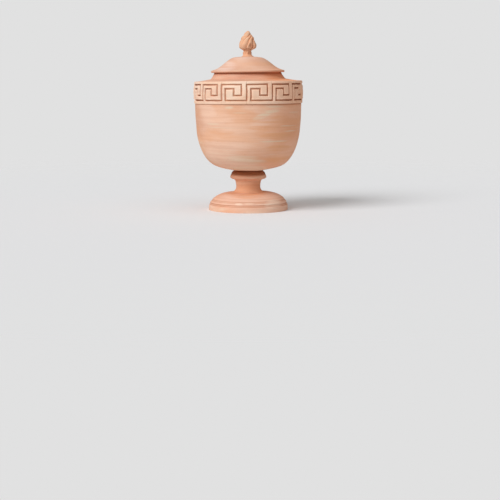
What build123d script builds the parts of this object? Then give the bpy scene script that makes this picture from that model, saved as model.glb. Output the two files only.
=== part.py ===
from build123d import *
import os
from math import cos, pi, radians, sin

# A lidded terracotta urn: a bell-shaped bowl with a Greek key frieze, on a knop, stem
# and domed foot, with a shoulder and neck, closed by a domed lid with a flame finial.
#
# Frame: millimetres, origin at the centre of the face it rests on, +Z up, front
# towards -Y. Every turned piece is drawn as an outline of (radius, height) in the
# XZ plane and revolved about Z.

os.makedirs("parts", exist_ok=True)

# Foot and stem
foot_r = 142.0            # widest, at the resting edge
foot_edge_h = 12.0        # upright edge below the dome
foot_ring_r = 124.0       # inside of the ring it rests on
dome_top_r = 62.0         # where the dome meets the stem
dome_top_z = 62.8
dome_wall = 12.0
stem_foot_r = 59.5        # lower edge of the stem, where it is luted on the foot
stem_foot_h = 1.0
waist_r = 43.0            # narrowest place of the stem
waist_z = 87.0
stem_top_r = 51.5
stem_top_z = 110.0        # seat of the knop
core_r = 26.0             # hollow up the middle of the stem and knop

# Knop
knop_r = 65.2
knop_wide_z = 118.5
knop_top_r = 49.0
knop_top_z = 143.0        # seat of the bowl

# Bowl
bowl_base_r = 55.0
bowl_lip_r = 190.3        # just below the frieze
bowl_floor_z = 156.0      # inside
bowl_inside_r = 176.5     # inside, behind the frieze
bowl_top_z = 457.0        # seat of the shoulder

# Frieze
seat_r = 186.0            # shallow seat turned in the bowl for the frieze
frieze_bottom_z = 381.5
frieze_top_z = 460.0
frieze_edge_r = 191.8     # face of the frieze at its borders
frieze_face_r = 195.2     # face of the frieze at mid-height, slightly crowned
frieze_round = 5.0        # rounding of the top edge
groove_floor_r = 190.2
groove_w = 4.8
key_count = 14
first_seam = -91.4        # polar angle of one seam, near the front
seam_drift = 3.1          # the tiles are spaced by hand: wider here, closer behind
seam_lag = -25.0

# Shoulder and neck
shoulder_z = 459.0        # outer edge of the shoulder
neck_root_r = 135.0
neck_root_z = 466.8
neck_r = 119.5            # at the rim
rim_z = 490.0             # seat of the lid
mouth_r = 108.0

# Lid
lid_r = 131.0
lid_edge_h = 7.5
lid_hollow_r = 90.0
lid_top_r = 25.0          # flat pad under the finial
lid_top_z = 545.5
flange_r = 103.5          # locating ring that hangs in the mouth
flange_wall = 8.0
flange_depth = 20.0

# Finial
finial_base_r = 23.0
finial_waist_r = 14.2
finial_waist_z = 555.5
finial_cup_r = 19.5
flame_bottom_z = 571.0
flame_tip_z = 636.0
flame_r = 28.6
flame_lobes = 5
flame_twist = 85          # degrees from the bottom to the tip


def polar(radius, angle):
    return (radius * cos(radians(angle)), radius * sin(radians(angle)))


def seam_angle(index):
    """Where one tile ends and the next begins, as a polar angle."""
    even = index * 360 / key_count
    return first_seam + even + seam_drift * (sin(radians(even + seam_lag)) - sin(radians(seam_lag)))


def meridian(angle):
    """The upright half-plane through the Z axis, at a polar angle."""
    a = radians(angle)
    return Plane(origin=(0, 0, 0), x_dir=(cos(a), sin(a), 0), z_dir=(sin(a), -cos(a), 0))


# ---------------------------------------------------------------------- foot
# A thrown dome, hollow beneath, with a hole in its crown for the core of the stem.
with BuildPart() as foot:
    with BuildSketch(Plane.XZ):
        with BuildLine():
            Line((foot_ring_r, 0), (foot_r, 0))
            Line((foot_r, 0), (foot_r, foot_edge_h))
            EllipticalCenterArc((dome_top_r, foot_edge_h), foot_r - dome_top_r,
                                dome_top_z - foot_edge_h, start_angle=0, arc_size=90)
            Line((dome_top_r, dome_top_z), (core_r, dome_top_z))
            Spline((core_r, dome_top_z), (40.0, dome_top_z - dome_wall), (104.0, 40.0),
                   (foot_ring_r, 0), tangents=((0, -1), (0, -1)))
        make_face()
    revolve(axis=Axis.Z)
foot.part.label = "foot"
export_step(foot.part, "parts/foot.step")

# ---------------------------------------------------------------------- stem
# A waisted tube that flares out over the crown of the foot.
with BuildPart() as stem:
    with BuildSketch(Plane.XZ):
        with BuildLine():
            Line((core_r, dome_top_z), (stem_foot_r, dome_top_z))
            Line((stem_foot_r, dome_top_z), (stem_foot_r, dome_top_z + stem_foot_h))
            Spline((stem_foot_r, dome_top_z + stem_foot_h), (47.6, 70.4), (waist_r, waist_z),
                   (45.6, 102.5), (stem_top_r, stem_top_z), tangents=((-1, 0.2), (1, 0.75)))
            Line((stem_top_r, stem_top_z), (core_r, stem_top_z))
            Line((core_r, stem_top_z), (core_r, dome_top_z))
        make_face()
    revolve(axis=Axis.Z)
stem.part.label = "stem"
export_step(stem.part, "parts/stem.step")

# ---------------------------------------------------------------------- knop
# The bulging ring between the stem and the bowl.
with BuildPart() as knop:
    with BuildSketch(Plane.XZ):
        with BuildLine():
            Line((core_r, stem_top_z), (stem_top_r, stem_top_z))
            Spline((stem_top_r, stem_top_z), (knop_r, knop_wide_z), (60.6, 130.5),
                   (knop_top_r, knop_top_z), tangents=((1, 0.12), (-1, 0.75)))
            Line((knop_top_r, knop_top_z), (core_r, knop_top_z))
            Line((core_r, knop_top_z), (core_r, stem_top_z))
        make_face()
    revolve(axis=Axis.Z)
knop.part.label = "knop"
export_step(knop.part, "parts/knop.step")

# ---------------------------------------------------------------------- bowl
# The bell-shaped body. Its outside steps in to a shallow seat for the frieze.
with BuildPart() as bowl:
    with BuildSketch(Plane.XZ):
        with BuildLine():
            Line((0, knop_top_z), (bowl_base_r, knop_top_z))
            Spline((bowl_base_r, knop_top_z), (100.0, 152.2), (138.5, 171.4), (163.2, 205.0),
                   (180.0, 252.0), (187.2, 308.0), (bowl_lip_r, frieze_bottom_z),
                   tangents=((1, 0.14), (0.02, 1)))
            Line((bowl_lip_r, frieze_bottom_z), (seat_r, frieze_bottom_z))
            Line((seat_r, frieze_bottom_z), (seat_r, bowl_top_z))
            Line((seat_r, bowl_top_z), (bowl_inside_r, bowl_top_z))
            Line((bowl_inside_r, bowl_top_z), (bowl_inside_r, frieze_bottom_z))
            Spline((bowl_inside_r, frieze_bottom_z), (174.5, 308.0), (167.0, 254.0),
                   (151.5, 211.0), (126.0, 181.0), (94.0, 164.0), (60.0, bowl_floor_z),
                   tangents=((-0.02, -1), (-1, 0)))
            Line((60.0, bowl_floor_z), (0, bowl_floor_z))
            Line((0, bowl_floor_z), (0, knop_top_z))
        make_face()
    revolve(axis=Axis.Z)
bowl.part.label = "bowl"
export_step(bowl.part, "parts/bowl.step")

# ------------------------------------------------------------------ shoulder
# The gently rising ring that closes the bowl down to the mouth.
with BuildPart() as shoulder:
    with BuildSketch(Plane.XZ):
        with BuildLine():
            Line((bowl_inside_r, bowl_top_z), (seat_r, bowl_top_z))
            Line((seat_r, bowl_top_z), (seat_r, shoulder_z))
            Line((seat_r, shoulder_z), (neck_root_r, neck_root_z))
            Line((neck_root_r, neck_root_z), (mouth_r, neck_root_z))
            Spline((mouth_r, neck_root_z), (118.0, 455.0), (140.0, 451.0),
                   tangents=((0, -1), (1, -0.05)))
            Line((140.0, 451.0), (168.0, 450.0))
            Line((168.0, 450.0), (bowl_inside_r, bowl_top_z))
        make_face()
    revolve(axis=Axis.Z)
shoulder.part.label = "shoulder"
export_step(shoulder.part, "parts/shoulder.step")

# ---------------------------------------------------------------------- neck
# The collar round the mouth. It narrows to the rim that the lid sits on.
with BuildPart() as neck:
    with BuildSketch(Plane.XZ):
        with BuildLine():
            Line((mouth_r, neck_root_z), (neck_root_r, neck_root_z))
            Spline((neck_root_r, neck_root_z), (125.4, 477.5), (neck_r, rim_z),
                   tangents=((-1, 0.55), (-0.12, 1)))
            Line((neck_r, rim_z), (mouth_r, rim_z))
            Line((mouth_r, rim_z), (mouth_r, neck_root_z))
        make_face()
    revolve(axis=Axis.Z)
neck.part.label = "neck"
export_step(neck.part, "parts/neck.step")

# -------------------------------------------------------------- frieze_key_NN
# Press-moulded tiles, one repeat of the key each, set edge to edge round the seat.
# The meander is one unbroken groove. Across a tile, from seam to seam, its upright
# runs stand at these fractions of the pitch, and its level runs at these heights.
run_in = 0.16
run_mid = 0.50
run_out = 0.795
line_top = 448.6
line_inner_top = 434.4
line_inner_bottom = 411.6
line_bottom = 394.4

# Each run: from and to across the tile, from and to in height.
key_runs = [
    (0, 0, line_bottom, line_top),
    (0, run_out, line_top, line_top),
    (run_out, run_out, line_inner_bottom, line_top),
    (run_mid, run_out, line_inner_bottom, line_inner_bottom),
    (run_mid, run_mid, line_inner_bottom, line_inner_top),
    (run_in, run_mid, line_inner_top, line_inner_top),
    (run_in, run_in, line_bottom, line_inner_top),
    (run_in, 1, line_bottom, line_bottom),
    (1, 1, line_bottom, line_top),
]
groove_half_angle = groove_w / 2 / frieze_face_r * 180 / pi
groove_reach = frieze_face_r - groove_floor_r + 6

for index in range(key_count):
    seam = seam_angle(index)
    key_pitch = seam_angle(index + 1) - seam
    with BuildPart() as key:
        with BuildSketch(meridian(seam)) as section:
            with BuildLine():
                Line((seat_r, frieze_top_z), (seat_r, frieze_bottom_z))
                Line((seat_r, frieze_bottom_z), (frieze_edge_r, frieze_bottom_z))
                ThreePointArc((frieze_edge_r, frieze_bottom_z),
                              (frieze_face_r, (frieze_bottom_z + frieze_top_z) / 2),
                              (frieze_edge_r, frieze_top_z))
                Line((frieze_edge_r, frieze_top_z), (seat_r, frieze_top_z))
            make_face()
            outer_top = section.vertices().group_by(Axis.Z)[-1].sort_by_distance((0, 0, 0))[-1]
            fillet(outer_top, frieze_round)
        revolve(axis=Axis.Z, revolution_arc=key_pitch)
        for u_from, u_to, z_from, z_to in key_runs:
            start = seam + u_from * key_pitch - groove_half_angle
            turn = (u_to - u_from) * key_pitch + 2 * groove_half_angle
            with BuildSketch(meridian(start)):
                with Locations((groove_floor_r + groove_reach / 2, (z_from + z_to) / 2)):
                    Rectangle(groove_reach, z_to - z_from + groove_w)
            revolve(axis=Axis.Z, revolution_arc=turn, mode=Mode.SUBTRACT)
    name = f"frieze_key_{index + 1:02d}"
    key.part.label = name
    export_step(key.part, f"parts/{name}.step")

# ----------------------------------------------------------------------- lid
# A domed lid with an overhanging rim and a hollow beneath.
with BuildPart() as lid:
    with BuildSketch(Plane.XZ):
        with BuildLine():
            Line((lid_hollow_r, rim_z), (lid_r - 2, rim_z))
            ThreePointArc((lid_r - 2, rim_z), (lid_r, rim_z + lid_edge_h / 2),
                          (lid_r - 2, rim_z + lid_edge_h))
            Spline((lid_r - 2, rim_z + lid_edge_h), (103.5, 507.5), (84.0, 522.0), (61.0, 538.0),
                   (lid_top_r, lid_top_z), tangents=((-1, 0.2), (-1, 0.05)))
            Line((lid_top_r, lid_top_z), (0, lid_top_z))
            Line((0, lid_top_z), (0, lid_top_z - 11))
            Line((0, lid_top_z - 11), (lid_top_r, lid_top_z - 11))
            Spline((lid_top_r, lid_top_z - 11), (56.0, 526.5), (77.0, 509.0), (lid_hollow_r, rim_z),
                   tangents=((1, -0.05), (0.5, -1)))
        make_face()
    revolve(axis=Axis.Z)
lid.part.label = "lid"
export_step(lid.part, "parts/lid.step")

# ---------------------------------------------------------------- lid_flange
# The ring luted under the lid that keeps it centred in the mouth.
with BuildPart() as lid_flange:
    with BuildSketch(Plane.XZ):
        with BuildLine():
            Polyline((flange_r - flange_wall, rim_z), (flange_r, rim_z),
                     (flange_r - 1.5, rim_z - flange_depth),
                     (flange_r - flange_wall + 1, rim_z - flange_depth), close=True)
        make_face()
    revolve(axis=Axis.Z)
lid_flange.part.label = "lid_flange"
export_step(lid_flange.part, "parts/lid_flange.step")

# -------------------------------------------------------------- finial_stem
with BuildPart() as finial_stem:
    with BuildSketch(Plane.XZ):
        with BuildLine():
            Line((0, lid_top_z), (finial_base_r, lid_top_z))
            Spline((finial_base_r, lid_top_z), (finial_waist_r, finial_waist_z),
                   (finial_cup_r, flame_bottom_z), tangents=((-1, 0.4), (0.5, 1)))
            Line((finial_cup_r, flame_bottom_z), (0, flame_bottom_z))
            Line((0, flame_bottom_z), (0, lid_top_z))
        make_face()
    revolve(axis=Axis.Z)
finial_stem.part.label = "finial_stem"
export_step(finial_stem.part, "parts/finial_stem.step")

# ------------------------------------------------------------- finial_flame
# A closed bud of flame: lobed cross-sections that turn as they rise to the tip.
# Each level: its fraction of the flame's height, and of its widest radius.
flame_levels = [(0, 0.72), (0.10, 0.95), (0.26, 1.0), (0.45, 0.89),
                (0.63, 0.79), (0.79, 0.54), (0.91, 0.31), (1.0, 0.08)]
lobe_depth = 0.12

with BuildPart() as finial_flame:
    for level, spread in flame_levels:
        with BuildSketch(Plane.XY.offset(flame_bottom_z + level * (flame_tip_z - flame_bottom_z))):
            with BuildLine():
                lobe_points = []
                for step in range(2 * flame_lobes):
                    dip = lobe_depth * (step % 2)
                    angle = level * flame_twist + step * 180 / flame_lobes
                    lobe_points.append(polar(flame_r * spread * (1 - dip), angle))
                Spline(*lobe_points, periodic=True)
            make_face()
    loft()
finial_flame.part.label = "finial_flame"
export_step(finial_flame.part, "parts/finial_flame.step")
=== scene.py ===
from math import cos, pi, radians, tau

import bmesh
import bpy
import numpy as np
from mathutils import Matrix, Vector


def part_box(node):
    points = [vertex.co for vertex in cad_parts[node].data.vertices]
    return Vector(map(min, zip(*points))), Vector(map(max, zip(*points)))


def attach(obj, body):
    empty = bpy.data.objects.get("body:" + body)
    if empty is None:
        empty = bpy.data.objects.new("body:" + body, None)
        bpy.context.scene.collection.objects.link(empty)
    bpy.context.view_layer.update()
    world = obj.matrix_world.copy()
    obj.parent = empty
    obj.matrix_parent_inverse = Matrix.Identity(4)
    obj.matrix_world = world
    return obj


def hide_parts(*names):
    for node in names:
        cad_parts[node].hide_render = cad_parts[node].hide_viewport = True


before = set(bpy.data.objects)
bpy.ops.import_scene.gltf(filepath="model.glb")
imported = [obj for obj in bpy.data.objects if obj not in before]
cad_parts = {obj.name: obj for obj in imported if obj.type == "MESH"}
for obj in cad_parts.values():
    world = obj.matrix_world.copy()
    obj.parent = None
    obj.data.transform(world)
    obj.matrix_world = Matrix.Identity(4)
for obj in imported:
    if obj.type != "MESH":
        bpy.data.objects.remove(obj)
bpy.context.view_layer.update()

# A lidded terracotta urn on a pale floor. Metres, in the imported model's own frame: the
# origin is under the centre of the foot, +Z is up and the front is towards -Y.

MM = 0.001


def smoothstep(low, high, value):
    """0 below low, 1 above high, and a smooth rise between them."""
    t = np.clip((value - low) / (high - low), 0, 1)
    return t * t * (3 - 2 * t)


# ---------------------------------------------------------------- handmade shape
# One slow deformation of the whole urn, shared by all its pieces. Slow bulges take it out
# of round: how many around, their size as a fraction of the radius, where they start and
# how far they wind in each metre of height, in radians.
BULGES = ((2, 0.0022, 0.6, 9), (3, 0.0012, 0.0, -14))
# The lines of its foot, frieze and lid run slightly up to the right, by these slopes at
# these heights in millimetres.
LEAN_HEIGHT = (4, 30, 62, 100, 120, 340, 385, 460, 490, 500, 545, 600)
LEAN_SLOPE = (0, 0.016, 0.013, 0.004, 0, 0, 0.008, 0.012, 0.011, 0.010, 0.003, 0)
# The lid and its finial sit a little to the left, by these millimetres.
SWAY_HEIGHT = (452, 488, 545, 557, 576, 636)
SWAY = (0, -1.8, -1.8, -4.0, -2.0, -1.0)


def handmade(points):
    """The points moved to where the hand-built urn has them."""
    x, y, z = points[..., 0], points[..., 1], points[..., 2]
    angle = np.arctan2(y, x)
    swell = 1
    for count, size, start, winding in BULGES:
        swell = swell + size * np.cos(count * angle + start + winding * z)
    rise = x * np.interp(z, np.array(LEAN_HEIGHT) * MM, LEAN_SLOPE)
    sway = MM * np.interp(z, np.array(SWAY_HEIGHT) * MM, SWAY)
    return np.stack([x * swell + sway, y * swell, z + rise], axis=-1)


def ripples(angle, along, rng, count, size, around, wave):
    """Waves over a turned surface: whole numbers of them around, and metres long."""
    total = 0
    for _ in range(count):
        turns = rng.integers(around[0], around[1] + 1)
        rate = tau / rng.uniform(*wave)
        total = total + rng.uniform(0.4, 1) * np.cos(turns * angle + rate * along
                                                     + rng.uniform(0, tau))
    return size * total / count ** 0.5


# --------------------------------------------------------------------- meshes
def finished(name, verts, faces, body, nodes, material):
    """A smooth-shaded piece that rides on a body and stands for some CAD nodes."""
    mesh = bpy.data.meshes.new(name)
    mesh.from_pydata(verts, [], faces)
    shaped = bmesh.new()
    shaped.from_mesh(mesh)
    bmesh.ops.recalc_face_normals(shaped, faces=shaped.faces)
    shaped.to_mesh(mesh)
    shaped.free()
    mesh.shade_smooth()
    mesh.materials.append(material)
    piece = bpy.data.objects.new(name, mesh)
    bpy.context.scene.collection.objects.link(piece)
    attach(piece, body)
    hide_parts(*nodes)


def grid_faces(around, along, wrap_around, wrap_along):
    """Quads over a grid of vertices numbered along each column in turn."""
    i = np.arange(around if wrap_around else around - 1)[:, None]
    j = np.arange(along if wrap_along else along - 1)[None, :]
    i_next, j_next = (i + 1) % around, (j + 1) % along
    quads = np.stack([i * along + j, i_next * along + j, i_next * along + j_next,
                      i * along + j_next], axis=-1)
    return quads.reshape(-1, 4).tolist()


# ------------------------------------------------------------------- outlines
CORNER = radians(14)      # a sharper turn than this is a real edge
FINE = 0.25 * MM          # step of an even outline
SAME_PLACE = 1e-6         # vertices nearer than this are one
ON_PLANE = 1e-7           # and vertices this near the cutting plane are on it
ROW_TURN = 0.16           # radians that an outline may bend between two rows
CLOSEST_ROWS = 0.45 * MM
HIDDEN_ROWS = 7 * MM      # coarser step where the clay is hidden or hard to see
BEND_BLUR = 9             # outline points over which its bend is evened out


def turned_outline(node):
    """The outline of a turned CAD node as (radius, height) points in order, read where
    its surface crosses the XZ plane on the +X side, and whether it is a closed loop."""
    cut = bmesh.new()
    cut.from_mesh(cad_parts[node].data)
    bmesh.ops.remove_doubles(cut, verts=cut.verts, dist=SAME_PLACE)
    for normal, clear_outer in (((0, 1, 0), True), ((1, 0, 0), False)):
        geometry = cut.verts[:] + cut.edges[:] + cut.faces[:]
        bmesh.ops.bisect_plane(cut, geom=geometry, dist=ON_PLANE, plane_co=(0, 0, 0),
                               plane_no=normal, clear_outer=clear_outer, clear_inner=True)
    bmesh.ops.remove_doubles(cut, verts=cut.verts, dist=SAME_PLACE)
    ends = [v for v in cut.verts if len(v.link_edges) == 1]
    here = min(ends or cut.verts, key=lambda v: (v.co.z, v.co.x))
    chain, walked = [here], set()
    while True:
        onward = [e for e in here.link_edges if e not in walked]
        if not onward:
            break
        walked.add(onward[0])
        here = onward[0].other_vert(here)
        if here is chain[0]:
            break
        chain.append(here)
    points = np.array([(v.co.x, v.co.z) for v in chain])
    cut.free()
    return points, not ends


def even_outline(points, closed):
    """The outline at a fine even step, curved between its corners."""
    if closed:
        points = np.vstack([points, points[:1]])
    step = np.diff(points, axis=0)
    length = np.hypot(*step.T)
    heading = step / length[:, None]
    dense = []
    for k in range(len(length)):
        start_slope, end_slope = heading[k], heading[k]
        if k > 0 and heading[k - 1] @ heading[k] > cos(CORNER):
            start_slope = heading[k - 1] * length[k] + heading[k] * length[k - 1]
            start_slope = start_slope / np.hypot(*start_slope)
        if k < len(length) - 1 and heading[k + 1] @ heading[k] > cos(CORNER):
            end_slope = heading[k + 1] * length[k] + heading[k] * length[k + 1]
            end_slope = end_slope / np.hypot(*end_slope)
        t = np.arange(0, 1, FINE / length[k])[:, None]
        dense.append((2 * t**3 - 3 * t**2 + 1) * points[k] + (3 * t**2 - 2 * t**3) * points[k + 1]
                     + length[k] * ((t**3 - 2 * t**2 + t) * start_slope
                                    + (t**3 - t**2) * end_slope))
    dense = np.vstack(dense + ([] if closed else [points[-1:]]))
    travelled = np.concatenate([[0], np.cumsum(np.hypot(*np.diff(dense, axis=0).T))])
    even = np.arange(0, travelled[-1], FINE)
    return np.stack([np.interp(even, travelled, dense[:, c]) for c in (0, 1)], axis=1)


def padded(points, closed, extra):
    """The outline continued past its ends: round the loop, or mirrored at the axis."""
    if closed:
        return np.vstack([points[-extra:], points, points[:extra]])
    flip = np.array([-1, 1])
    return np.vstack([points[extra:0:-1] * flip, points, points[-2:-extra - 2:-1] * flip])


def softened(points, closed, sigma):
    """The outline with its edges worn round, over about sigma metres."""
    reach = int(4 * sigma / FINE)
    weights = np.exp(-0.5 * (np.arange(-reach, reach + 1) * FINE / sigma) ** 2)
    wide = padded(points, closed, reach)
    return np.stack([np.convolve(wide[:, c], weights / weights.sum(), "valid")
                     for c in (0, 1)], axis=1)


def outward(points, closed):
    """Unit normals of an outline, pointing out of the clay."""
    wide = padded(points, closed, 1)
    along = wide[2:] - wide[:-2]
    normal = np.stack([along[:, 1], -along[:, 0]], axis=1)
    normal /= np.hypot(*normal.T)[:, None]
    loop = points if closed else np.vstack([points, [[0, points[0, 1]]]])
    area = np.sum(loop[:, 0] * np.roll(loop[:, 1], -1) - np.roll(loop[:, 0], -1) * loop[:, 1])
    return normal if area > 0 else -normal


def thinned(points, normal, closed, spacing, hidden_spacing, hidden):
    """The rows worth keeping: close together where the outline bends."""
    wide = padded(normal, closed, 1)
    bend = np.hypot(*(wide[2:] - wide[:-2]).T) / (2 * FINE)
    blur = np.ones(BEND_BLUR) / BEND_BLUR
    bend = np.convolve(np.pad(bend, BEND_BLUR // 2, mode="edge"), blur, "valid")
    gap = np.where(hidden(points[:, 0], points[:, 1]), hidden_spacing, spacing)
    gap = np.minimum(gap, np.maximum(ROW_TURN / np.maximum(bend, 1), CLOSEST_ROWS))
    count = np.cumsum(FINE / gap)
    rows = np.searchsorted(count, np.linspace(count[0], count[-1], int(count[-1])))
    rows = np.unique(np.clip(rows, 0, len(points) - 1))
    if closed and rows[-1] == len(points) - 1:
        rows = rows[:-1]
    return rows


CALM_AXIS = 12 * MM       # relief fades out this near the axis,
CALM_BASE = 3 * MM        # and its upward part fades out this near the resting face
OUTER = 0.2               # a ring is cut only where the surface faces outward by this much


def turned(node, body, material, columns, relief, soft=1.0 * MM, spacing=2 * MM,
           hidden=lambda r, z: r < 0, cuts=()):
    """Replaces a turned CAD node by a finer one with soft edges, rings cut in it and
    relief(angle, along, r, z) metres proud of the outline."""
    points, closed = turned_outline(node)
    points = even_outline(points, closed)
    normal = outward(points, closed)
    for height, width, depth in cuts:
        facing = normal[:, 0] > OUTER
        groove = depth * np.exp(-((points[:, 1] - height) / width) ** 2) * facing
        points = points - normal * groove[:, None]
    points = softened(points, closed, soft)
    normal = outward(points, closed)
    rows = thinned(points, normal, closed, spacing, HIDDEN_ROWS, hidden)
    points, normal = points[rows], normal[rows]
    along = np.concatenate([[0], np.cumsum(np.hypot(*np.diff(points, axis=0).T))])
    angle = np.linspace(0, tau, columns, endpoint=False)[:, None]
    r, z = points[None, :, 0], points[None, :, 1]
    proud = relief(angle, along[None, :], r, z) * smoothstep(0, CALM_AXIS, r)
    rest = smoothstep(0, CALM_BASE, z)
    r = r + proud * normal[None, :, 0]
    z = z + proud * normal[None, :, 1] * rest
    grid = handmade(np.stack([r * np.cos(angle), r * np.sin(angle),
                              z + 0 * angle], axis=-1))
    count = len(points)
    if closed:
        verts = grid.reshape(-1, 3)
        faces = grid_faces(columns, count, True, True)
    else:
        inner = grid[:, 1:-1].reshape(-1, 3)
        poles = grid[:, [0, -1]].mean(axis=0)
        verts = np.vstack([inner, poles])
        faces = grid_faces(columns, count - 2, True, False)
        bottom, top = len(inner), len(inner) + 1
        for i in range(columns):
            j = (i + 1) % columns
            faces.append((bottom, j * (count - 2), i * (count - 2)))
            faces.append((top, i * (count - 2) + count - 3, j * (count - 2) + count - 3))
    finished(node + "_clay", verts.tolist(), faces, body, [node], material)


# ------------------------------------------------------------------ materials
# The colour sockets of a Mix node, among those for its other kinds of value.
MIX_FACTOR, MIX_UNDER, MIX_OVER, MIX_RESULT = 0, 6, 7, 2


class Clay:
    """A node material under construction, on the object's own coordinates."""

    def __init__(self, name, seed):
        self.material = bpy.data.materials.new(name)
        self.material.use_nodes = True
        self.tree = self.material.node_tree
        self.tree.nodes.clear()
        self.place = self.add("ShaderNodeTexCoord").outputs["Object"]
        self.seed = seed

    def add(self, kind, **settings):
        """A new node of this kind, with these settings."""
        node = self.tree.nodes.new(kind)
        for key, value in settings.items():
            setattr(node, key, value)
        return node

    def feed(self, socket, value):
        """Gives a socket a plain value, or links it to another node's output."""
        if isinstance(value, bpy.types.NodeSocket):
            self.tree.links.new(value, socket)
        else:
            socket.default_value = value

    def noise(self, scale, detail=3.0, roughness=0.55, distortion=0.0, shift=0.0):
        """Noise stretched by three scales, in waves per metre."""
        spread = self.add("ShaderNodeVectorMath", operation="MULTIPLY_ADD")
        self.feed(spread.inputs[0], self.place)
        spread.inputs[1].default_value = scale
        spread.inputs[2].default_value = (self.seed + shift, 3.1 * shift, self.seed - shift)
        noise = self.add("ShaderNodeTexNoise")
        self.feed(noise.inputs["Vector"], spread.outputs[0])
        noise.inputs["Scale"].default_value = 1.0
        noise.inputs["Detail"].default_value = detail
        noise.inputs["Roughness"].default_value = roughness
        noise.inputs["Distortion"].default_value = distortion
        return noise.outputs["Fac"]

    def axes(self):
        """The x, y and z of the point being shaded."""
        split = self.add("ShaderNodeSeparateXYZ")
        self.feed(split.inputs[0], self.place)
        return split.outputs

    def window(self, value, low, high, out_low=0.0, out_high=1.0):
        """A smooth change from out_low, where value is low, to out_high, where high."""
        step = self.add("ShaderNodeMapRange", interpolation_type="SMOOTHSTEP")
        self.feed(step.inputs["Value"], value)
        step.inputs["From Min"].default_value = low
        step.inputs["From Max"].default_value = high
        step.inputs["To Min"].default_value = out_low
        step.inputs["To Max"].default_value = out_high
        return step.outputs["Result"]

    def math(self, operation, first, second=0.0):
        node = self.add("ShaderNodeMath", operation=operation)
        self.feed(node.inputs[0], first)
        self.feed(node.inputs[1], second)
        return node.outputs[0]

    def times(self, *factors):
        product = factors[0]
        for factor in factors[1:]:
            product = self.math("MULTIPLY", product, factor)
        return product

    def blend(self, factor, under, over):
        """The colour under, covered by the colour over as far as the factor says."""
        node = self.add("ShaderNodeMix", data_type="RGBA")
        self.feed(node.inputs[MIX_FACTOR], factor)
        self.feed(node.inputs[MIX_UNDER], under)
        self.feed(node.inputs[MIX_OVER], over)
        return node.outputs[MIX_RESULT]


def tone(red, green, blue):
    """A linear colour from one that is written 0 to 255 as a screen shows it."""
    screen = np.array([red, green, blue]) / 255
    linear = np.where(screen < 0.04045, screen / 12.92, ((screen + 0.055) / 1.055) ** 2.4)
    return (*[float(v) for v in linear], 1.0)


CREAM = tone(232, 214, 190)
# Painted shade: the deeper orange of the right side, away from the key light.
SHADE_SIDE_ORANGE = tone(240, 164, 118)
# Painted highlight: the paler colour of sharp edges.
EDGE_HIGHLIGHT = tone(244, 220, 198)
# Painted shade: the darker colour of hollows.
HOLLOW_SHADE = tone(176, 108, 72)
GRIT = tone(150, 96, 70)
PIT = tone(150, 92, 66)


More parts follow.
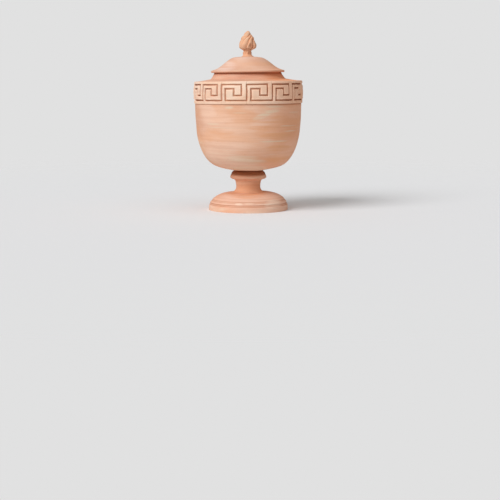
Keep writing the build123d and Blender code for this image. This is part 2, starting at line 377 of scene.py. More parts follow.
def terracotta(name, seed, body, warm, deep, bloom=0.5, streaks=0.5, lines=0.5, pale=0.35,
               shade_side=0.5, dust_and_shade=None, dust_and_shade_tone=(150, 84, 46), marks=()):
    """Unglazed wheel-thrown clay: warm and deep patches drawn out round the pot, cream
    bloom in smeared patches and thin bright lines, pits, grit and fine turning marks. Its
    right side, away from the key light, is painted a deeper orange as painted shade; its
    sharp edges are painted paler as a painted highlight and its hollows darker as painted
    shade. The mask for darker clay gives painted shade, and dust with painted shade in the
    frieze's groove, and the tone after it is the colour there; marks are more masks, each
    with its colour."""
    clay = Clay(name, seed)
    x, y, z = clay.axes()
    patch = clay.window(clay.noise((5, 5, 14), 3, 0.5, 0.4), 0.38, 0.66)
    colour = clay.blend(patch, body, warm)
    shade = clay.window(clay.noise((3.5, 3.5, 9), 3, 0.5, 0.3, 7.0), 0.46, 0.72)
    colour = clay.blend(clay.times(shade, 0.55), colour, deep)
    drawn = clay.window(clay.noise((4, 4, 95), 4, 0.6, 0.3, 3.0), 0.40, 0.66)
    colour = clay.blend(clay.times(drawn, 0.45 * streaks), colour, deep)
    smear = clay.window(clay.noise((6, 6, 34), 4, 0.58, 0.5, 11.0), 0.52, 0.70)
    where = clay.window(clay.noise((4, 4, 10), 2, 0.5, 0.2, 17.0), 0.44, 0.60)
    colour = clay.blend(clay.times(smear, where, bloom), colour, CREAM)
    thin = clay.window(clay.noise((3, 3, 330), 2, 0.5, 0.0, 23.0), 0.62, 0.72)
    where = clay.window(clay.noise((5, 5, 16), 2, 0.5, 0.3, 29.0), 0.46, 0.62)
    colour = clay.blend(clay.times(thin, where, lines), colour, CREAM)
    # Painted shade: the right side, away from the key light, is painted a deeper orange.
    side = clay.math("ADD", x, clay.times(clay.noise((6, 6, 16), 2, shift=51.0), 0.10))
    side = clay.times(clay.window(side, 0.02, 0.24), shade_side)
    colour = clay.blend(side, colour, SHADE_SIDE_ORANGE)
    # Painted shade close under the lid, the frieze and the bowl and in the foot's rings, and dust
    # with painted shade in the frieze's groove.
    if dust_and_shade:
        colour = clay.blend(dust_and_shade(clay, x, y, z), colour, tone(*dust_and_shade_tone))
    for mask, tint in marks:
        colour = clay.blend(mask(clay, x, y, z), colour, tone(*tint))
    # Painted highlight: sharp edges are painted paler.
    sharp = clay.add("ShaderNodeNewGeometry").outputs["Pointiness"]
    edge = clay.window(sharp, 0.51, 0.60)
    colour = clay.blend(clay.times(edge, pale), colour, EDGE_HIGHLIGHT)
    # Painted shade: hollows are painted darker.
    hollow = clay.window(sharp, 0.42, 0.495, 0.7, 0.0)
    colour = clay.blend(hollow, colour, HOLLOW_SHADE)
    grit = clay.noise((620, 620, 620), 2, 0.6, 0.0, 31.0)
    colour = clay.blend(clay.window(grit, 0.60, 0.75, 0.0, 0.25), colour, GRIT)
    cells = clay.add("ShaderNodeTexVoronoi")
    clay.feed(cells.inputs["Vector"], clay.place)
    cells.inputs["Scale"].default_value = 95.0
    pit = clay.window(cells.outputs["Distance"], 0.05, 0.13, 1.0, 0.0)
    pitted = clay.window(clay.noise((30, 30, 30), 1, 0.5, 0.0, 37.0), 0.50, 0.62)
    pit = clay.times(pit, pitted)
    colour = clay.blend(clay.times(pit, 0.5), colour, PIT)

    turning = clay.noise((9, 9, 1150), 3, 0.6, 0.0, 41.0)
    drag = clay.noise((26, 26, 420), 3, 0.6, 0.0, 43.0)
    height = clay.math("ADD", clay.times(turning, 0.55), clay.times(drag, 0.7))
    height = clay.math("ADD", height, clay.times(grit, 0.35))
    height = clay.math("SUBTRACT", height, clay.times(pit, 1.6))
    bump = clay.add("ShaderNodeBump")
    bump.inputs["Strength"].default_value = 0.55
    bump.inputs["Distance"].default_value = 0.35 * MM
    clay.feed(bump.inputs["Height"], height)

    shader = clay.add("ShaderNodeBsdfPrincipled")
    clay.feed(shader.inputs["Base Color"], colour)
    clay.feed(shader.inputs["Roughness"], clay.window(drag, 0.3, 0.7, 0.78, 0.94))
    clay.feed(shader.inputs["Normal"], bump.outputs["Normal"])
    shader.inputs["Specular IOR Level"].default_value = 0.3
    output = clay.add("ShaderNodeOutputMaterial")
    clay.feed(output.inputs["Surface"], shader.outputs["BSDF"])
    return clay.material


GROOVE_FLOOR = 188.8 * MM    # radius of the bottom of the frieze's groove
# Rings turned in the dome: height, half-width and depth.
FOOT_RINGS = [(46 * MM, 1.3 * MM, 0.7 * MM), (37.5 * MM, 1.5 * MM, 1.7 * MM),
              (33.5 * MM, 1.2 * MM, 1.3 * MM), (25.5 * MM, 1.6 * MM, 2.3 * MM),
              (21 * MM, 1.3 * MM, 1.9 * MM)]
RING_FULL_SHADE = 3.2 * MM         # a ring this deep gets the full painted shade


def groove_dust_and_shade(clay, x, y, z):
    """The sunk line of the frieze, painted darker with dust and painted shade: near enough to the
    axis, and below the top edge.
    """
    radius = clay.math("SQRT", clay.math("ADD", clay.times(x, x), clay.times(y, y)))
    sunk = clay.window(radius, GROOVE_FLOOR, GROOVE_FLOOR + 3 * MM, 0.8, 0.0)
    return clay.times(sunk, clay.window(z, 453 * MM, 456 * MM, 1.0, 0.0))


def groove_shade_at_sides(clay, x, y, z):
    """Painted shade: the groove is painted darker still towards the two sides of the urn."""
    away = clay.window(clay.math("ABSOLUTE", x), 95 * MM, 165 * MM)
    return clay.times(groove_dust_and_shade(clay, x, y, z), away)


def ring_shade(clay, x, y, z):
    """Painted shade in the rings turned in the foot, darker in the deeper rings."""
    dust = 0.0
    for height, half, depth in FOOT_RINGS:
        below = clay.window(z, height - 1.5 * half, height - 0.2 * half)
        above = clay.window(z, height + 0.2 * half, height + 1.5 * half, 1.0, 0.0)
        dust = clay.math("ADD", clay.times(below, above, depth / RING_FULL_SHADE), dust)
    return dust


def smears_light_and_shade(rows):
    """A mask for strokes of colour on the front of the clay, one to a row: smudged clay, painted
    light and painted shade.
    """
    def mask(clay, x, y, z):
        streaky = clay.window(clay.noise((7, 7, 150), 4, 0.6, 0.3, 61.0), 0.36, 0.62, 0.25, 1.0)
        total = 0.0
        for middle_x, middle_z, half_x, half_z, rise, strength in rows:
            along = clay.math("SUBTRACT", x, middle_x * MM)
            up = clay.math("SUBTRACT", z, middle_z * MM)
            up = clay.math("SUBTRACT", up, clay.times(along, rise))
            along = clay.math("DIVIDE", along, half_x * MM)
            up = clay.math("DIVIDE", up, half_z * MM)
            far = clay.math("ADD", clay.times(along, along), clay.times(up, up))
            total = clay.math("ADD", total, clay.window(far, 0.15, 1.1, strength, 0.0))
        front = clay.window(y, -40 * MM, 10 * MM, 1.0, 0.0)
        return clay.times(total, streaky, front)
    return mask


# Strokes of colour on the front. Each is the x and z of its middle and its half-width and
# half-height, in millimetres, then how steeply it climbs and how strongly it shows.
# The last foot stroke, on the shaded right of the dome, is painted light; the others are pale
# smudges.
FOOT_SMUDGES_AND_LIGHT = [(-33, 31, 17, 4.5, 0.0, 0.8), (4, 33, 22, 3.5, 0.0, 0.4),
                (58, 30, 42, 2.0, 0.0, 0.5), (88, 26, 34, 22.0, 0.0, 0.7)]
FOOT_WARM = [(-5, 62, 80, 14, 0.0, 1.0)]
# The three wide strokes low on the bowl's underside are painted bounce light; the rest are cream
# smudges.
CREAM_SMUDGES_AND_BOUNCE_LIGHT = [(48, 341, 38, 11, 0.30, 0.75), (84, 358, 30, 8, 0.10, 0.65),
                 (-66, 370, 18, 6, 0.0, 0.7), (-122, 313, 26, 3.4, 0.0, 0.6),
                 (140, 306, 34, 3.0, 0.0, 0.8), (146, 288, 26, 3.0, 0.0, 0.6),
                 (88, 253, 58, 3.0, 0.0, 1.0), (-30, 352, 30, 3.0, 0.0, 0.3),
                 (160, 352, 22, 4.0, 0.0, 0.5), (90, 372, 40, 3.0, 0.0, 0.4),
                 (-20, 196, 70, 10.0, 0.0, 0.45), (0, 150, 100, 20, 0.0, 0.6),
                 (-10, 182, 80, 14, 0.0, 0.4)]
ORANGE_STROKES = [(95, 272, 62, 13, 0.0, 0.75), (40, 300, 60, 10, 0.0, 0.6),
                  (20, 328, 26, 8, 0.2, 0.4), (110, 335, 40, 7, 0.0, 0.5),
                  (-90, 285, 50, 12, 0.0, 0.35), (105, 228, 55, 14, 0.0, 0.8),
                  (110, 190, 60, 18, 0.0, 0.8), (70, 320, 55, 5, 0.0, 0.5)]
# Painted light on the front of the frieze.
FRIEZE_PAINTED_LIGHT = [(5, 420, 75, 60, 0.0, 0.3)]
# Painted shade on the left of the frieze.
FRIEZE_PAINTED_SHADE = [(-150, 420, 90, 60, 0.0, 0.5)]
# Painted shade on the right, shaded side of the neck.
NECK_PAINTED_SHADE = [(95, 478, 50, 16, 0.0, 0.9)]
# Painted light on the lit left of the lid.
LID_PAINTED_LIGHT = [(-85, 512, 50, 24, 0.0, 0.6), (-30, 540, 30, 8, 0.0, 0.3)]
LID_WARM = [(20, 515, 60, 16, 0.0, 0.5), (85, 520, 40, 14, 0.0, 0.5)]
# Painted light on the flame's tongues that face the key light.
FLAME_PAINTED_LIGHT = [(-9, 616, 15, 17, 0.0, 0.9), (3, 630, 10, 6, 0.0, 0.7),
              (-22, 598, 6, 8, 0.0, 0.6)]
# Painted shade in the flame's recesses and creases and under its belly.
FLAME_PAINTED_SHADE = [(11, 584, 8, 9, 0.0, 0.8), (-8, 571.5, 14, 2.8, 0.25, 0.9),
              (21, 603, 3, 12, 0.0, 0.7), (12, 620, 4, 4, 0.5, 0.5),
              (12, 556, 3, 8, 0.0, 0.6), (24, 577, 3, 3, 0.0, 0.6)]


def shadow_under_lid(clay, x, y, z):
    """Painted shadow: the mouth is painted dark close under the lid's rim."""
    return clay.window(z, 481 * MM, 488 * MM, 0.0, 0.75)


def shadow_under_frieze(clay, x, y, z):
    """Painted shadow along the line under the frieze."""
    return clay.window(z, 376.5 * MM, 381.5 * MM, 0.0, 0.75)


def shade_under_bowl(clay, x, y, z):
    """Painted shade: the top of the knop, close under the bowl, is painted dark."""
    return clay.window(z, 121.5 * MM, 130.5 * MM, 0.0, 0.9)


BOWL_CLAY = terracotta("bowl_terracotta", 2.9, tone(241, 200, 175), tone(236, 182, 147),
                       tone(210, 150, 118), bloom=0.4, streaks=0.6, lines=0.8,
                       dust_and_shade=shadow_under_frieze, dust_and_shade_tone=(190, 116, 78),
                       marks=[(smears_light_and_shade(ORANGE_STROKES), (232, 168, 124)),
                              (smears_light_and_shade(CREAM_SMUDGES_AND_BOUNCE_LIGHT), (232, 212, 186))])
LID_CLAY = terracotta("lid_terracotta", 5.2, tone(239, 206, 187), tone(234, 188, 161),
                      tone(216, 158, 128), bloom=0.45, streaks=0.5, lines=0.4,
                      marks=[(smears_light_and_shade(LID_PAINTED_LIGHT), (244, 216, 204)),
                             (smears_light_and_shade(LID_WARM), (234, 178, 142))])
NECK_CLAY = terracotta("neck_terracotta", 9.1, tone(234, 188, 164), tone(230, 178, 150),
                       tone(208, 142, 112), bloom=0.35, streaks=0.4, lines=0.3, shade_side=0.95,
                       dust_and_shade=shadow_under_lid, marks=[(smears_light_and_shade(NECK_PAINTED_SHADE), (226, 144, 96))])
FOOT_CLAY = terracotta("foot_terracotta", 12.4, tone(234, 190, 166), tone(232, 176, 144),
                       tone(212, 148, 114), bloom=0.6, streaks=0.4, lines=0.6, shade_side=0.1,
                       dust_and_shade=ring_shade, dust_and_shade_tone=(180, 108, 72),
                       marks=[(smears_light_and_shade(FOOT_WARM), (226, 156, 112)),
                              (smears_light_and_shade(FOOT_SMUDGES_AND_LIGHT), (244, 218, 196))])
STEM_CLAY = terracotta("stem_terracotta", 12.4, tone(234, 182, 150), tone(230, 166, 126),
                       tone(206, 136, 98), bloom=0.3, streaks=0.5, lines=0.4, shade_side=0.7)
KNOP_CLAY = terracotta("knop_terracotta", 12.4, tone(232, 178, 148), tone(226, 160, 124),
                       tone(200, 130, 98), bloom=0.4, streaks=0.5, lines=0.4,
                       dust_and_shade=shade_under_bowl)
FRIEZE_CLAY = terracotta("frieze_terracotta", 15.8, tone(250, 222, 200), tone(248, 208, 178),
                         tone(230, 182, 150), bloom=0.5, streaks=0.25, lines=0.1, pale=0.6,
                         dust_and_shade=groove_dust_and_shade, dust_and_shade_tone=(200, 130, 92),
                         marks=[(smears_light_and_shade(FRIEZE_PAINTED_LIGHT), (255, 226, 202)),
                                (smears_light_and_shade(FRIEZE_PAINTED_SHADE), (226, 182, 160)),
                                (groove_shade_at_sides, (152, 84, 50))])
FLAME_CLAY = terracotta("flame_terracotta", 19.3, tone(236, 194, 164), tone(234, 176, 138),
                        tone(206, 140, 104), bloom=0.5, streaks=0.1, lines=0.0, pale=0.5,
                        shade_side=0.8,
                        marks=[(smears_light_and_shade(FLAME_PAINTED_LIGHT), (242, 220, 192)),
                               (smears_light_and_shade(FLAME_PAINTED_SHADE), (166, 92, 52))])


# -------------------------------------------------------------- turned pieces
def wheel_marks(seed, fine=0.10 * MM, broad=0.35 * MM, dents=30, dent_depth=0.3 * MM):
    """Relief left by throwing: fine spiral ridges, slow unevenness and shallow dents."""
    rng = np.random.default_rng(seed)

    def relief(angle, along, r, z):
        rings = ripples(angle, along, rng, 12, fine, (0, 1), (2.4 * MM, 6.5 * MM))
        fading = 1 + 0.6 * np.sin(3 * angle + 40 * along)
        total = rings * fading + ripples(angle, along, rng, 8, broad, (0, 4), (0.05, 0.16))
        for _ in range(dents):
            turn = (angle - rng.uniform(0, tau) + pi) % tau - pi
            reach = rng.uniform(3, 12) * MM
            away = (turn * r) ** 2 + (2.2 * (along - rng.uniform(0, along.max()))) ** 2
            total = total - rng.uniform(-0.4, 1) * dent_depth * np.exp(-away / reach ** 2)
        return total

    return relief


turned("foot", "vessel", FOOT_CLAY, columns=320, relief=wheel_marks(11),
       soft=0.8 * MM, spacing=1.6 * MM, cuts=FOOT_RINGS,
       hidden=lambda r, z: (z < 0.5 * MM) | (r < 26.5 * MM))
turned("stem", "vessel", STEM_CLAY, columns=220,
       relief=wheel_marks(12, fine=0.16 * MM), soft=0.7 * MM,
       hidden=lambda r, z: r < 30 * MM)
turned("knop", "vessel", KNOP_CLAY, columns=220,
       relief=wheel_marks(13, fine=0.08 * MM), soft=0.7 * MM,
       hidden=lambda r, z: r < 30 * MM)
turned("bowl", "vessel", BOWL_CLAY, columns=240,
       relief=wheel_marks(14, 0.09 * MM, 0.45 * MM, dents=60, dent_depth=0.35 * MM),
       soft=0.9 * MM, spacing=2.2 * MM, hidden=lambda r, z: r < 54 * MM,
       cuts=[(380.0 * MM, 1.3 * MM, 1.2 * MM)])
turned("shoulder", "vessel", NECK_CLAY, columns=300,
       relief=wheel_marks(15, fine=0.08 * MM), soft=0.8 * MM,
       hidden=lambda r, z: z < 456 * MM)
turned("neck", "vessel", NECK_CLAY, columns=280,
       relief=wheel_marks(16, fine=0.12 * MM), soft=0.8 * MM)
turned("lid", "lid", LID_CLAY, columns=320,
       relief=wheel_marks(17, fine=0.10 * MM, broad=0.4 * MM), soft=0.45 * MM,
       spacing=1.8 * MM, hidden=lambda r, z: r < 12 * MM)
turned("lid_flange", "lid", LID_CLAY, columns=200,
       relief=wheel_marks(18, fine=0.12 * MM), soft=0.9 * MM)


def leafy(angle, along, r, z):
    """The finial's stem swells into a ring of worn leaves, tucked in under the flame."""
    grown = smoothstep(548 * MM, 560 * MM, z)
    leaves = 1.7 * np.cos(5 * angle + 45 * z + 0.9) + 0.9 * np.cos(9 * angle - 80 * z + 1)
    tucked = smoothstep(559 * MM, 564.5 * MM, z)
    return MM * (grown * (leaves - 0.2) * (1 - tucked) - 2.4 * tucked)


turned("finial_stem", "lid", FLAME_CLAY, columns=160, relief=leafy,
       soft=0.9 * MM, spacing=0.9 * MM, hidden=lambda r, z: r < 10 * MM)


# --------------------------------------------------------------------- frieze
# The meander is one groove. Across a tile, from seam to seam, its upright runs stand at
# these fractions, and its level runs at these heights above the bottom of the tile.
RUN_IN, RUN_MID, RUN_OUT = 0.16, 0.50, 0.795
TOP, INNER_TOP, INNER_BOTTOM, BOTTOM = 67.1 * MM, 52.9 * MM, 30.1 * MM, 12.9 * MM
KEY_RUNS = [(0, 0, BOTTOM, TOP), (0, RUN_OUT, TOP, TOP), (RUN_OUT, RUN_OUT, INNER_BOTTOM, TOP),
            (RUN_MID, RUN_OUT, INNER_BOTTOM, INNER_BOTTOM),
            (RUN_MID, RUN_MID, INNER_BOTTOM, INNER_TOP), (RUN_IN, RUN_MID, INNER_TOP, INNER_TOP),
            (RUN_IN, RUN_IN, BOTTOM, INNER_TOP), (RUN_IN, 1, BOTTOM, BOTTOM),
            (1, 1, BOTTOM, TOP)]
GROOVE_HALF = 2.5 * MM
GROOVE_WALL = 0.42 * MM      # softness of the groove's edges
LIP = 4.1 * MM               # the raised lip up and left of the groove: how far from it
LIP_HEIGHT = 0.9 * MM
FACE_PEAK = 0.42             # where the face stands proudest, up from the bottom
FACE_FALL_LOW = 2.0 * MM     # how far it falls back from there to its two edges
FACE_FALL_HIGH = 3.2 * MM
TOP_ROUND = 4.0 * MM
FACE_POINTS, ROUND_POINTS = 200, 40
TILE_SOFT = 0.6 * MM
TILE_GRID = 0.68 * MM
TILE_HIDDEN_ROWS = 6 * MM
SEAM_GAP = 0.1 * MM
CHIPS = 5


def tile_outline(back, face, low, high):
    """The section of a tile: crowned face, rounded top edge, flat back."""
    peak = FACE_PEAK * (high - low)
    rise = np.linspace(0, high - low - TOP_ROUND, FACE_POINTS)
    front = face - np.where(rise < peak, FACE_FALL_LOW * ((rise - peak) / peak) ** 2,
                            FACE_FALL_HIGH * ((rise - peak) / (high - low - peak)) ** 2)
    bend = np.linspace(0, pi / 2, ROUND_POINTS)[1:]
    round_r = front[-1] - TOP_ROUND + TOP_ROUND * np.cos(bend)
    round_z = high - TOP_ROUND + TOP_ROUND * np.sin(bend)
    loop = [(back, low)] + list(zip(front, low + rise)) + list(zip(round_r, round_z))
    return np.array(loop + [(back, high)])


def groove_distance(across, height, pitch):
    """How far each point of a tile is from the middle line of its groove, measured so
    that the groove's corners stay nearly square."""
    nearest = np.full(np.broadcast(across, height).shape, 1.0)
    for from_u, to_u, from_z, to_z in KEY_RUNS:
        dx = np.maximum(np.abs(across - (from_u + to_u) / 2 * pitch)
                        - (to_u - from_u) / 2 * pitch, 0)
        dz = np.maximum(np.abs(height - (from_z + to_z) / 2) - (to_z - from_z) / 2, 0)
        nearest = np.minimum(nearest, (dx ** 4 + dz ** 4) ** 0.25)
    return nearest


def key_depth(angle, r, z, across, up, pitch):
    """How far the key takes a tile's face back: the groove and a dip towards it, a raised
    lip up and left of it, a scoop down and right of it, and worn edges at the seams."""
    sway = 0.3 * MM * np.sin(9 * angle + 120 * z) + 0.2 * MM * np.sin(31 * angle - 210 * z)
    across_line, up_line = across + sway, up + 0.7 * sway
    distance = groove_distance(across_line, up_line, pitch)
    distance = distance + 0.25 * MM * np.sin(23 * angle + 170 * z + 1)
    open_part = 1 / (1 + np.exp((distance - GROOVE_HALF) / GROOVE_WALL))
    groove = np.maximum(r - GROOVE_FLOOR, 0) * open_part
    dip = 0.5 * MM * np.exp(-distance / (3 * MM))
    lip = groove_distance(across_line + LIP, up_line - LIP, pitch)
    scoop = groove_distance(across_line - LIP, up_line + LIP, pitch)
    edge = LIP_HEIGHT * (0.8 * np.exp(-(scoop / (2.4 * MM)) ** 2)
                         - np.exp(-(lip / (1.7 * MM)) ** 2))
    from_seam = np.minimum(across, pitch - across)
    seam = 0.8 * MM * np.exp(-(from_seam / (1.0 * MM)) ** 2)
    return groove + dip + (1 - open_part) * (edge + seam)


def chip_depth(across, z, low, high, pitch, rng):
    """Small losses along a tile's top and bottom edges."""
    depth = 0
    for _ in range(CHIPS):
        at, height = rng.uniform(0, pitch), rng.choice([0.0, high - low]) + low
        reach = rng.uniform(1.2, 3.0) * MM
        away = (across - at) ** 2 + (z - height) ** 2
        depth = depth + rng.uniform(0.3, 1.1) * MM * np.exp(-away / reach ** 2)
    return depth


def frieze_tile(node, rng):
    """Replaces one CAD tile by a crowned one, of the same size, with its key cut in."""
    corners = np.array([v.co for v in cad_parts[node].data.vertices])
    centre = np.arctan2(corners[:, 1].mean(), corners[:, 0].mean())
    turned_by = (np.arctan2(corners[:, 1], corners[:, 0]) - centre + pi) % tau - pi
    start, stop = centre + turned_by.min(), centre + turned_by.max()
    radius = np.hypot(corners[:, 0], corners[:, 1])
    back, face = radius.min(), radius.max()
    low, high = corners[:, 2].min(), corners[:, 2].max()
    pitch = (stop - start) * face

    points = tile_outline(back, face, low, high)
    points = softened(even_outline(points, True), True, TILE_SOFT)
    normal = outward(points, True)
    rows = thinned(points, normal, True, TILE_GRID, TILE_HIDDEN_ROWS,
                   lambda r, z: r < back + 1.5 * MM)
    points, normal = points[rows], normal[rows]
    columns = int(pitch / TILE_GRID)
    gap = SEAM_GAP / face
    angle = np.linspace(start + gap, stop - gap, columns)[:, None]
    r, z = points[None, :, 0], points[None, :, 1]
    across = (angle - start) * face

    depth = key_depth(angle, r, z, across, z - low, pitch)
    depth = depth + ripples(angle, z, rng, 10, 0.16 * MM, (4, 40), (0.012, 0.05))
    depth = depth + chip_depth(across, z, low, high, pitch, rng)
    depth = depth * smoothstep(0.3, 0.8, normal[None, :, 0])
    proud = rng.uniform(-0.25, 0.25) * MM
    front = smoothstep(back + 0.5 * MM, back + 4 * MM, r)
    r = r + (proud - depth) * front
    z = z + 0.4 * depth * np.minimum(normal[None, :, 1], 0)
    grid = handmade(np.stack([r * np.cos(angle), r * np.sin(angle), z], axis=-1))
    count = len(points)
    faces = grid_faces(columns, count, False, True)
    faces.append(tuple(range(count)))
    faces.append(tuple(range(columns * count - 1, (columns - 1) * count - 1, -1)))
    finished(node + "_clay", grid.reshape(-1, 3).tolist(), faces, "vessel", [node],
             FRIEZE_CLAY)


tile_rng = np.random.default_rng(21)
for node in sorted(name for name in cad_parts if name.startswith("frieze_key_")):
    frieze_tile(node, tile_rng)


# ---------------------------------------------------------------------- flame
FLAME_LOW, FLAME_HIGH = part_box("finial_flame")
FLAME_BOTTOM, FLAME_TOP = FLAME_LOW[2] - 1.5 * MM, FLAME_HIGH[2]
FLAME_RISE = FLAME_TOP - FLAME_BOTTOM
FLAME_R = 28.6 * MM
# The bud that the tongues are cut from: fractions of its height and of FLAME_R.
BUD = [(0, 0.62), (0.04, 0.84), (0.10, 1.02), (0.26, 1.03), (0.45, 0.88), (0.63, 0.76),
       (0.79, 0.56), (0.91, 0.36), (0.97, 0.20), (1.0, 0.06)]
STEEP_SIDE = 1.5 * MM        # how far the steep side of a crease runs
SLENDER = 15 * MM            # below this radius creases and ridges shrink with the bud

# The creases between its tongues wind up the bud. Along each: degrees round from the
# front and fraction of the height; then its depth and how far its gentle side runs (mm).
CREASES = [
    ([(-64, 0.0), (-54, 0.13), (-47, 0.32), (-40, 0.50), (-10, 0.65), (45, 0.81), (100, 0.92),
      (170, 1.0)], 5.6, 6.5),
    ([(-14, 0.0), (-4, 0.20), (5, 0.35), (14, 0.52), (36, 0.66), (72, 0.78), (125, 0.90),
      (180, 1.0)], 4.6, 6.0),
    ([(38, 0.0), (47, 0.10), (50, 0.32), (57, 0.52), (92, 0.70), (140, 0.84), (200, 1.0)],
     6.0, 5.5),
    ([(106, 0.0), (108, 0.20), (116, 0.44), (152, 0.68), (205, 0.86), (250, 1.0)], 5.0, 6.0),
    ([(146, 0.0), (154, 0.22), (170, 0.48), (214, 0.72), (262, 0.88), (300, 1.0)], 5.4, 7.0),
    ([(194, 0.0), (204, 0.28), (228, 0.54), (264, 0.71), (318, 0.85), (370, 1.0)], 5.0, 6.5),
    ([(238, 0.0), (244, 0.20), (264, 0.44), (296, 0.62)], 4.0, 5.0),
]
# Swellings and pits: degrees from the front, fraction up, breadth and height (mm).
LUMPS = [(22, 0.25, 6.0, -4.2), (18, 0.09, 7.0, -5.5), (13, 0.115, 2.6, 4.0),
         (66, 0.12, 5.0, 2.2), (66, 0.12, 2.0, -4.5), (84, 0.25, 8.0, 1.0),
         (84, 0.56, 6.0, -3.6), (-86, 0.47, 13.0, 1.6), (-20, 0.33, 8.5, 2.2),
         (-34, 0.10, 4.0, -1.8), (128, 0.30, 8.0, 2.0), (180, 0.38, 9.0, 2.0),
         (170, 0.10, 5.0, -2.5), (236, 0.30, 8.0, 1.6), (222, 0.12, 4.5, -2.2)]


def eased(values):
    """The same run of numbers with its corners taken off."""
    values = values.copy()
    for _ in range(40):
        values[1:-1] = 0.25 * values[:-2] + 0.5 * values[1:-1] + 0.25 * values[2:]
    return values


def crease(course, depth, gentle, level, turn, r, small):
    """How deep one crease is at each point of the flame. It is steep on one side, gentle
    on the other, and deepest near the bottom."""
    centre = np.interp(level[:, 0], [at for _, at in course], [way for way, _ in course])
    centre = eased(centre)
    slope = np.gradient(np.radians(centre), level[:, 0] * FLAME_RISE)[:, None]
    off = (turn - centre[:, None] + 180) % 360 - 180
    off = np.radians(off) * r / np.sqrt(1 + (slope * r) ** 2)
    width = np.where(off < 0, gentle * MM, STEEP_SIDE) * small
    end = course[-1][1]
    reach = 1.0 if end == 1.0 else 1 - smoothstep(end - 0.10, end + 0.001, level)
    deeper = smoothstep(-0.03, 0.05, level) * (1.5 - 0.5 * smoothstep(0.0, 0.22, level))
    return depth * MM * deeper * small * reach * np.exp(-(np.abs(off) / width) ** 1.35)


def flame_skin(rows, columns):
    """The flame as one closed skin of vertices and faces."""
    level = np.linspace(0, 1, rows)[:, None] ** 0.94
    turn = np.linspace(-180, 180, columns, endpoint=False)[None, :]
    r = FLAME_R * eased(np.interp(level, *zip(*BUD)))
    small = np.minimum(1, r / SLENDER)
    proud = 0 * turn * level
    for course, depth, gentle in CREASES:
        proud -= crease(course, depth, gentle, level, turn, r, small)
    for way, at, breadth, height in LUMPS:
        across = np.radians((turn - way + 180) % 360 - 180) * r
        near = (across ** 2 + ((level - at) * FLAME_RISE) ** 2) / (breadth * MM) ** 2
        proud += height * MM * np.exp(-near)
    twist = np.radians(turn) - 3.6 * level ** 1.5
    proud += 0.25 * MM * small * np.cos(9 * twist + 11 * level)
    r = np.maximum(r + 1.1 * MM * small + proud, 1.0 * MM)
    way = np.radians(turn - 90)
    height = FLAME_BOTTOM + FLAME_RISE * (level + 0 * turn)
    skin = np.stack([r * np.cos(way), r * np.sin(way), height], axis=-1)
    faces = grid_faces(rows, columns, False, True)
    faces.append(tuple(range(columns - 1, -1, -1)))
    faces.append(tuple(range((rows - 1) * columns, rows * columns)))
    return skin.reshape(-1, 3), faces


flame_points, flame_faces = flame_skin(150, 300)
finished("finial_flame_clay", handmade(flame_points).tolist(), flame_faces, "lid",
         ["finial_flame"], FLAME_CLAY)


# ---------------------------------------------------------------------- stage
FLOOR_R = 9.0
FADE_FROM, FADE_TO = 0.5, 3.2     # the floor fades out between these distances
FLOOR_PAINT = tone(236, 238, 241)
BACKDROP_SEEN = tone(225, 225, 225)
BACKDROP_GLOW = (0.365, 0.35, 0.335, 1.0)
CAMERA_AT = (0.0063, -4.5, 0.481)
CAMERA_DOWN = 7.97                # degrees below level
CAMERA_LENS, CAMERA_SENSOR = 90, 36


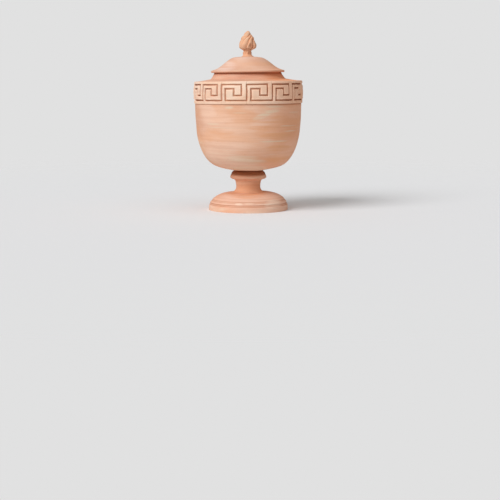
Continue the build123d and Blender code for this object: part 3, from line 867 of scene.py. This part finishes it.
def floor():
    """A round pale floor that fades out into the backdrop colour."""
    disc = bmesh.new()
    bmesh.ops.create_circle(disc, cap_ends=True, segments=128, radius=FLOOR_R)
    mesh = bpy.data.meshes.new("floor")
    disc.to_mesh(mesh)
    disc.free()
    material = bpy.data.materials.new("pale_floor")
    material.use_nodes = True
    tree = material.node_tree
    tree.nodes.clear()
    place = tree.nodes.new("ShaderNodeTexCoord")
    length = tree.nodes.new("ShaderNodeVectorMath")
    length.operation = "LENGTH"
    tree.links.new(place.outputs["Object"], length.inputs[0])
    fade = tree.nodes.new("ShaderNodeMapRange")
    fade.interpolation_type = "SMOOTHSTEP"
    tree.links.new(length.outputs["Value"], fade.inputs["Value"])
    fade.inputs["From Min"].default_value = FADE_FROM
    fade.inputs["From Max"].default_value = FADE_TO
    paint = tree.nodes.new("ShaderNodeBsdfDiffuse")
    paint.inputs["Color"].default_value = FLOOR_PAINT
    clear = tree.nodes.new("ShaderNodeBsdfTransparent")
    mix = tree.nodes.new("ShaderNodeMixShader")
    tree.links.new(fade.outputs["Result"], mix.inputs["Fac"])
    tree.links.new(paint.outputs["BSDF"], mix.inputs[1])
    tree.links.new(clear.outputs["BSDF"], mix.inputs[2])
    output = tree.nodes.new("ShaderNodeOutputMaterial")
    tree.links.new(mix.outputs["Shader"], output.inputs["Surface"])
    mesh.materials.append(material)
    piece = bpy.data.objects.new("floor", mesh)
    bpy.context.scene.collection.objects.link(piece)


def soft_sun(name, toward, softness, strength):
    """Even light from a wide patch of the ceiling or wall, seen in one direction."""
    data = bpy.data.lights.new(name, "SUN")
    data.angle = radians(softness)
    data.energy = strength
    lamp = bpy.data.objects.new(name, data)
    lamp.rotation_euler = Vector(toward).to_track_quat("Z", "Y").to_euler()
    bpy.context.scene.collection.objects.link(lamp)


def backdrop(seen, glow):
    """The camera sees an even pale grey; the urn is lit by a dimmer one."""
    world = bpy.data.worlds.new("studio")
    world.use_nodes = True
    tree = world.node_tree
    tree.nodes.clear()
    path = tree.nodes.new("ShaderNodeLightPath")
    mix = tree.nodes.new("ShaderNodeMixShader")
    output = tree.nodes.new("ShaderNodeOutputWorld")
    for socket, colour in ((mix.inputs[1], glow), (mix.inputs[2], seen)):
        shade = tree.nodes.new("ShaderNodeBackground")
        shade.inputs["Color"].default_value = colour
        tree.links.new(shade.outputs["Background"], socket)
    tree.links.new(path.outputs["Is Camera Ray"], mix.inputs["Fac"])
    tree.links.new(mix.outputs["Shader"], output.inputs["Surface"])
    bpy.context.scene.world = world


floor()
backdrop(BACKDROP_SEEN, BACKDROP_GLOW)
soft_sun("key", (-0.62, -0.62, 0.70), 34, 2.1)
soft_sun("top", (0.15, -0.35, 1.0), 60, 0.35)
bpy.context.scene.view_settings.view_transform = "Standard"

camera_data = bpy.data.cameras.new("camera")
camera_data.lens = CAMERA_LENS
camera_data.sensor_width = CAMERA_SENSOR
camera = bpy.data.objects.new("camera", camera_data)
camera.location = CAMERA_AT
camera.rotation_euler = (radians(90 - CAMERA_DOWN), 0, 0)
bpy.context.scene.collection.objects.link(camera)
bpy.context.scene.camera = camera
